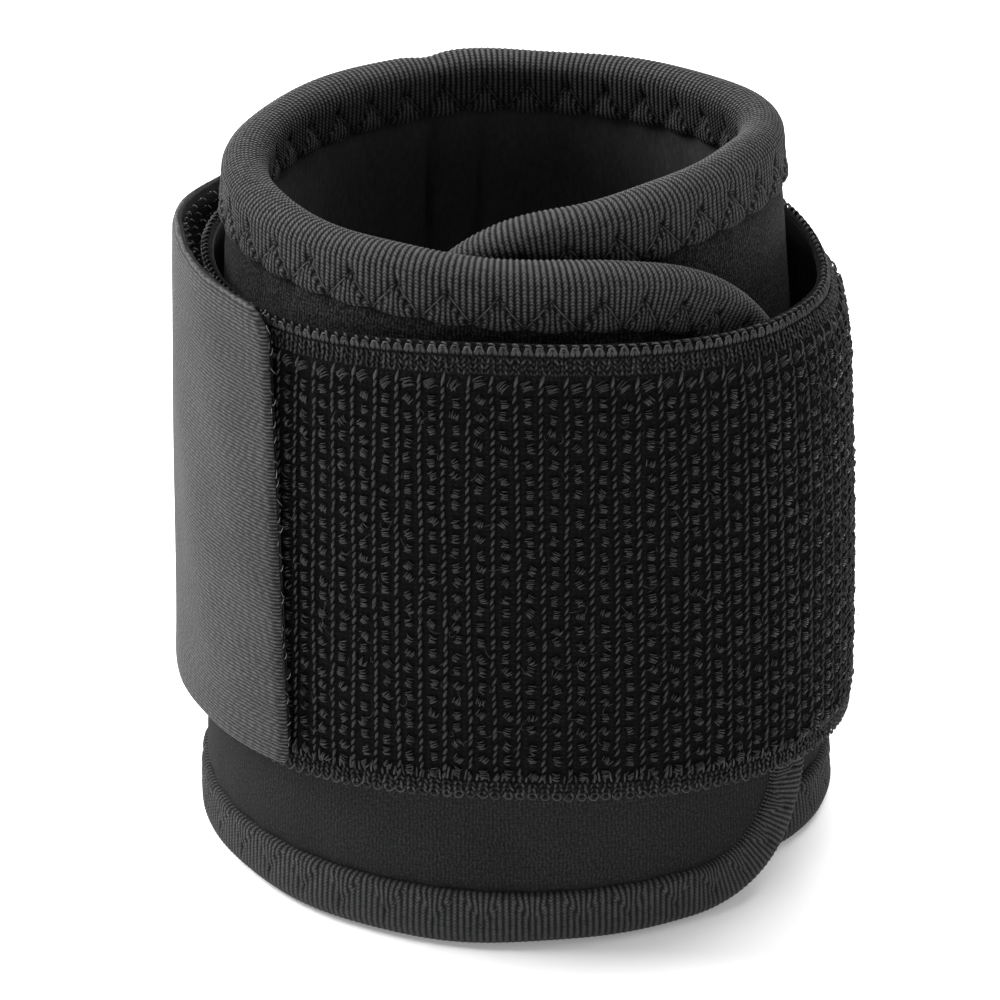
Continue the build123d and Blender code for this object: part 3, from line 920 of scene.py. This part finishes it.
def make_beads(stretch):
    """Bead columns: tufts of a few arched filaments, each tuft turned its own way."""
    u, v = grid(columns_in(stretch, PAIR, PAIR / 2),
                np.arange(PILE_BOTTOM + 0.4, PILE_TOP + 0.3, BEAD_STEP))
    top = v > PILE_TOP - BEAD_STEP
    u = u + RANDOM.normal(0, 0.08, u.shape)
    v = v + RANDOM.normal(0, 0.16, v.shape)
    turn = np.where(top, 0.5, RANDOM.choice([-0.4, 0.0, 0.1, 0.3, 0.9], len(u)))
    turn = (turn + RANDOM.normal(0, 0.2, u.shape))[:, None, None]
    large = np.where(top, 1.0, 0.0)[:, None, None]
    t = np.array([-1.0, -0.5, 0.45, 1.0])
    rank = (np.arange(BEAD_FILAMENTS) - (BEAD_FILAMENTS - 1) / 2)[None, :, None]
    wild = RANDOM.normal(0, 1, (2, len(u), BEAD_FILAMENTS, 1))
    half = RANDOM.uniform(0.48, 0.66, wild[0].shape) * (1 + 0.55 * large)
    x = half * t + 0.06 * wild[0]
    y = rank * BEAD_SPACING + 0.05 * wild[1] + 0.10 * wild[1] * t + large * (0.35 - 0.5 * t ** 2)
    s = u[:, None, None] + x * np.cos(turn) - y * np.sin(turn)
    v = v[:, None, None] + x * np.sin(turn) + y * np.cos(turn)
    crown = 0.66 - 0.09 * np.abs(rank) + RANDOM.normal(0, 0.07, (len(u), 1, 1)) + 0.12 * large
    out = WEBBING + crown * np.clip(1 - np.abs(t) ** 2.4, 0, 1)
    s, v, out = (g.reshape(-1, len(t)) for g in (s, v, out))
    return strap_strands("beads", s, v, out, BEAD_YARN, 3, stretch,
                         RANDOM.uniform(0.35, 1.2, len(out)))


def fans(stretch, pitch, knots, copies=1, spread=0.0, wild=0.0, shift=0.0):
    """Copies of one bent strand at every pitch, each drawn in further towards its middle.
    knots are its (s, v, out). Gives arrays of s, v and out."""
    u = columns_in(stretch, pitch, shift)
    u = u + RANDOM.normal(0, 0.04, len(u))
    share = 1 - spread * np.arange(copies) / copies
    s, v, out = (np.asarray(k, float) for k in knots)
    s = u[:, None, None] + s * share[:, None]
    v = np.broadcast_to(v[0] + (v - v[0]) * (0.35 + 0.65 * share[:, None]), s.shape)
    out = np.broadcast_to(WEBBING + out * (0.4 + 0.6 * share[:, None]), s.shape)
    s, v, out = (g.reshape(-1, g.shape[-1]) for g in (s, v, out))
    lean, grow = RANDOM.normal(0, 1, (2, len(s), 1))
    s = s + wild * lean * np.linspace(0, 1, s.shape[1])
    v = v + (v - v[:, :1]) * wild * grow + RANDOM.normal(0, 0.04, (len(v), 1))
    return s, v, out


def make_selvedge(stretch):
    """Knuckles and short broken ribs on the upper edge, brushed ribs and picots on the lower."""
    pitch = PAIR / 2
    knuckle = ([-0.50, -0.44, -0.20, 0.20, 0.44, 0.50], [50.8, 51.4, 51.92, 51.92, 51.4, 50.8],
               [0.02, 0.30, 0.36, 0.36, 0.30, 0.02])
    crest = ([-0.42, -0.28, -0.08, 0.10, 0.28, 0.40], [51.7, 51.95, 52.1, 52.1, 51.98, 51.8],
             [-0.6, -0.3, 0.0, 0.12, 0.15, 0.12])
    rib_s, rib_v, rib_out = np.array([[-0.10, -0.07, -0.02, 0.02, 0.07, 0.10],
                                      [0.62, 0.5, 0.35, 0.25, 0.1, 0.0],
                                      [0.0, 0.12, 0.17, 0.17, 0.12, 0.0]])
    brush = ([0.0] * 6, [1.9, 2.1, 2.4, 2.7, 3.0, 3.3], [0.0, 0.16, 0.24, 0.28, 0.28, 0.20])
    picot = ([-0.60, -0.45, -0.20, 0.20, 0.45, 0.60], [0.75, 0.15, -0.10, -0.10, 0.15, 0.75],
             [-0.2, -0.1, 0.0, 0.0, -0.1, -0.2])
    rib_rows = ((50.15, 0.25), (49.55, 0.15), (48.95, 0.05), (0.3, 0.35), (0.85, 0.3), (1.4, 0.25))
    # Each row: its strands, their radius and how light they are.
    rows = [(fans(stretch, pitch, knuckle, 3, 0.8), 0.12, 0.55),
            (fans(stretch, pitch, crest, 2, 0.3), 0.12, 0.55),
            (fans(stretch, pitch, picot), 0.10, 0.6),
            (fans(stretch, pitch / 2, brush, wild=0.25), 0.13, 0.3)]
    for height, shade in rib_rows:
        for side in (1.0, -1.0):
            leaning = (rib_s * side, rib_v + height, rib_out)
            ribs = fans(stretch, pitch, leaning, wild=0.12, shift=side * pitch / 4)
            rows.append((ribs, 0.15, shade))
    strokes, radii, shades = zip(*rows)
    counts = [len(s) for s, v, out in strokes]
    s, v, out = np.concatenate(strokes, axis=1)
    shade = np.repeat(shades, counts) + RANDOM.uniform(-0.4, 0.4, len(s))
    return strap_strands("selvedge", s, v, out, np.repeat(radii, counts)[:, None], 4, stretch,
                         shade, SELVEDGE_YARN)


def wander(s, v, heading, long):
    """The course of loose filaments of a given length, from their heading at each knot."""
    knots = heading.shape[1]
    return (s + np.cumsum(np.cos(heading), 1) * long / knots,
            v + np.cumsum(np.sin(heading), 1) * long / knots)


def make_fuzz(stretch):
    """Stray filaments that have come out of the pile."""
    start, end = stretch.reach
    count = int((end - start) * FUZZ_PER_MM)
    t = np.linspace(0, 1, 7)
    u = RANDOM.uniform(start, end, (count, 1))
    v = RANDOM.uniform(PILE_BOTTOM + 2, PILE_TOP - 2, (count, 1))
    heading = RANDOM.uniform(0, 2 * np.pi, (count, 1)) + RANDOM.normal(0, 2.2, (count, 1)) * t
    s, v = wander(u, v, heading, RANDOM.uniform(0.8, 2.6, (count, 1)))
    s = np.clip(s, start, end)
    rise = np.where(RANDOM.random(count) < 0.3, 1.6, 0.5) * RANDOM.uniform(0.5, 1.0, count)
    out = WEBBING + 0.35 + rise[:, None] * np.sin(np.pi * t)
    return strap_strands("fuzz", s, v, out, 0.035, 3, stretch, RANDOM.uniform(0.5, 1.0, count))


def make_strap():
    for stretch in STRAP_STRETCHES:
        webbing = make_webbing(stretch)
        pile = [make(stretch) for make in (make_chains, make_beads, make_selvedge, make_fuzz)]


# ---- the tab
TAB_CORNERS = (1.4, 3.5)    # radii, lower and upper
TAB_SEAM_LINES = (457.5, 462.5)


def rounding(into, radius):
    """How far a corner's arc lies back from its edge, into mm into the corner."""
    into = np.clip(into, 0, radius)
    return radius - np.sqrt(radius ** 2 - into ** 2)


def tab_limit(v):
    """Where the slanted free end of the tab lies, in s, at height v: its corners are round."""
    low, high = TAB_CORNERS
    corners = rounding(v - STRAP_WIDTH + high, high) + rounding(low - v, low)
    return (strap_run.length(TAB_END + TAB_END_SLANT * (1 - v / STRAP_WIDTH)) - corners
            - 0.5 * v / STRAP_WIDTH)


def make_tab():
    v = np.r_[0.0, 0.06, 0.2, 0.4, 0.7, np.linspace(1.1, STRAP_WIDTH - 4.2, 30),
              STRAP_WIDTH - np.array([3.4, 2.6, 1.9, 1.3, 0.8, 0.45, 0.2, 0.06, 0.0])]
    end_of_tab = tab_limit(v)

    def roundness(s, across):
        """0 at the cover's free edges, 1 a millimetre inside them."""
        near = np.minimum(from_edge(across), tab_limit(across) - s)
        near = np.minimum(near, s - strap_run.length(TAB_START))
        return np.sqrt(np.clip(1 - (1 - np.clip(near / 0.8, 0, 1)) ** 2, 0, 1))

    def cover_out(s, across):
        swell = 0.10 * np.sin(s / 6.0 + 0.5) * np.sin(across / 8.0)
        swell = swell + 0.06 * np.sin(s / 2.1 + across / 5)
        return TAB_HOOK + (TAB_DEPTH - TAB_HOOK) * (0.35 + 0.65 * roundness(s, across)) + swell

    def cover_in(s, across):
        return TAB_HOOK + 0.20 * (1 - roundness(s, across))

    for stretch in TAB_STRETCHES:
        start, end = stretch.reach
        cover = slab(f"tab_cover_{stretch.tag}", start, np.minimum(end_of_tab, end), v, cover_out,
                     cover_in, tab_point, TAB_KNIT, "tab_knit", 0.7)
        stretch.attach(cover, "cover")
        make_hook_field(stretch)


HOOK_MARGIN = 0.15
HOOK_BASE = 0.30            # thickness of the moulded strip that carries the hooks
HOOK_PITCH = 1.3


def make_hook_field(stretch):
    """Moulded strip under the cover, with rows of hooks towards the wearer."""
    start, end = max(stretch.reach[0], strap_run.length(HOOK_START)), stretch.reach[1]
    if end - start < 1.0:
        return
    v = np.linspace(HOOK_MARGIN, STRAP_WIDTH - HOOK_MARGIN, 24)
    limit = np.minimum(tab_limit(v) - HOOK_MARGIN, end)
    strip = slab(f"hook_strip_{stretch.tag}", start, limit, v, at_depth(TAB_HOOK + 0.05),
                 at_depth(TAB_HOOK - HOOK_BASE), tab_point, HOOK_PLASTIC, "hook_field", 1.0)
    stretch.attach(strip, "hook")
    first, last = math.ceil(start / HOOK_PITCH), math.ceil((end - 0.3) / HOOK_PITCH)
    u, w = grid(np.arange(first, last) * HOOK_PITCH, np.arange(STRAP_WIDTH - 0.9, 1.5, -HOOK_PITCH))
    keep = (u < tab_limit(w) - HOOK_MARGIN - 0.4) & (u > start + 0.2)
    u, w = u[keep], w[keep]
    if not len(u):
        return
    t = np.linspace(0, 1, 7)
    s = u[:, None] + RANDOM.normal(0, 0.06, (len(u), 1))
    sway = np.where(np.arange(len(u)) % 2, 1.0, -1.0)[:, None]
    v = w[:, None] + sway * (0.55 * np.sin(np.pi * t * 0.9) * t)
    out = TAB_HOOK - HOOK_BASE - 0.60 * np.sin(np.pi * np.clip(t * 0.80, 0, 1))
    lines = tab_point(s, v, out)
    outward = unit(np.cross(lines[:, -1] - lines[:, 0], [0, 0, 1.0]) + 0.01)
    piece = strands(f"hooks_{stretch.tag}", lines, 0.085, 3, HOOK_YARN, outward,
                    RANDOM.random(len(u)))
    stretch.attach(piece)


def make_tab_fringe():
    """Pale filaments caught between the tab's free edge and the pile."""
    count = 30
    v = np.linspace(2.0, STRAP_WIDTH - 1.5, count)[:, None] + RANDOM.normal(0, 0.4, (count, 1))
    t = np.linspace(0, 1, 8)
    heading = RANDOM.normal(0.0, 0.35, (count, 1)) + RANDOM.choice([-2.6, 2.6], (count, 1)) * t ** 2
    s, v = wander(tab_limit(v) - 0.4, v, heading, RANDOM.uniform(1.1, 1.9, (count, 1)))
    out = 0.55 + 0.45 * np.sin(np.pi * t)
    lines = tab_point(s, v, out)
    outward = tab_point(s[:, 0], v[:, 0], out[0] + 1) - lines[:, 0]
    piece = strands("tab_edge_fringe", lines, 0.04, 3, FRINGE, outward,
                    RANDOM.uniform(0.6, 1, count))
    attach(piece, "tab_tip")


# ---- stitches
def make_seam(name, node, body, at_s, at_v, point, surface, sign, proud, thread):
    """Rows of lockstitches, proud of a surface and dipping into it at both ends."""
    u, w = grid(at_s, at_v)
    t = np.linspace(-1, 1, 7)
    s = u[:, None] + 0.05 * t
    v = w[:, None] + 1.55 * t
    out = surface(s, v) + sign * (proud - 0.25 * np.abs(t) ** 3)
    lines = point(s, v, out)
    outward = point(s[:, 3], v[:, 3], out[:, 3] + sign) - lines[:, 3]
    piece = strands(name, lines, 0.15, 6, thread, outward, RANDOM.random(len(u)))
    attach(piece, body)
    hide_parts(node)


def make_seams():
    stitch = 3.6

    def dented_lining(s, z):
        return seam_pull(s, z, ANCHOR_PULL) - BAND_THICKNESS

    make_seam("anchor_stitches", "strap_anchor_stitching", "band",
              [band_run.length(a) for a in ANCHOR_LINES], np.arange(16.0, 66.0, stitch),
              band_point, dented_lining, -1.0, 0.05, DARK_THREAD)
    make_seam("tab_seam_stitches", "tab_seam_stitching", "strap_end",
              [strap_run.length(a) for a in TAB_SEAM_LINES], np.arange(2.5, 51.0, stitch),
              tab_point, at_depth(TAB_DEPTH + 0.02), 1.0, 0.13, THREAD)


# ---- stage
def make_stage():
    bpy.ops.mesh.primitive_plane_add(size=6.0, location=(0, 0, 0))
    floor = bpy.context.object
    floor.name = "floor"
    m = bpy.data.materials.new("floor_paper")
    m.use_nodes = True
    set_inputs(m.node_tree.nodes["Principled BSDF"], {
        "Base Color": (0.9, 0.9, 0.9, 1), "Roughness": 0.9, "Specular IOR Level": 0.1,
        "Emission Color": (1, 1, 1, 1), "Emission Strength": 0.15})
    floor.data.materials.append(m)
    world = bpy.data.worlds.new("studio")
    bpy.context.scene.world = world
    world.use_nodes = True
    set_inputs(world.node_tree.nodes["Background"], {"Color": (1, 1, 1, 1), "Strength": 0.30})


def aim(thing, spot, target):
    spot, target = Vector(spot), Vector(target)
    thing.location = spot
    thing.rotation_euler = (target - spot).to_track_quat("-Z", "Y").to_euler()


def area_light(name, spot, size, power):
    data = bpy.data.lights.new(name, "AREA")
    data.shape = "RECTANGLE"
    data.size, data.size_y = size
    data.energy = power
    aim(add_object(name, data), spot, (0, 0, 0.04))


def make_lights():
    area_light("key", (-0.70, 0.20, 0.60), (0.5, 0.5), 14.2)
    area_light("top", (0.05, 0.40, 0.90), (1.1, 0.7), 20.0)
    area_light("front", (-0.15, -0.95, 0.16), (1.0, 0.28), 4.3)
    area_light("side", (0.75, 0.10, 0.45), (0.4, 0.4), 1.2)


CAMERA_AT = np.array([0.0, -557.0, 306.0])
CAMERA_AIM = np.array([-1.95, -1.59, 37.66])
LENS, SENSOR = 199.66, 36.0


def make_camera():
    data = bpy.data.cameras.new("camera")
    data.lens, data.sensor_width = LENS, SENSOR
    data.clip_start = 0.05
    camera = add_object("camera", data)
    aim(camera, (CAMERA_AT + TO_ORIGIN) * MM, (CAMERA_AIM + TO_ORIGIN) * MM)
    bpy.context.scene.camera = camera


make_camera()
make_band_faces()
make_binding()
make_strap()
make_tab()
make_tab_fringe()
make_seams()
make_stage()
make_lights()
bpy.context.scene.view_settings.view_transform = "Standard"
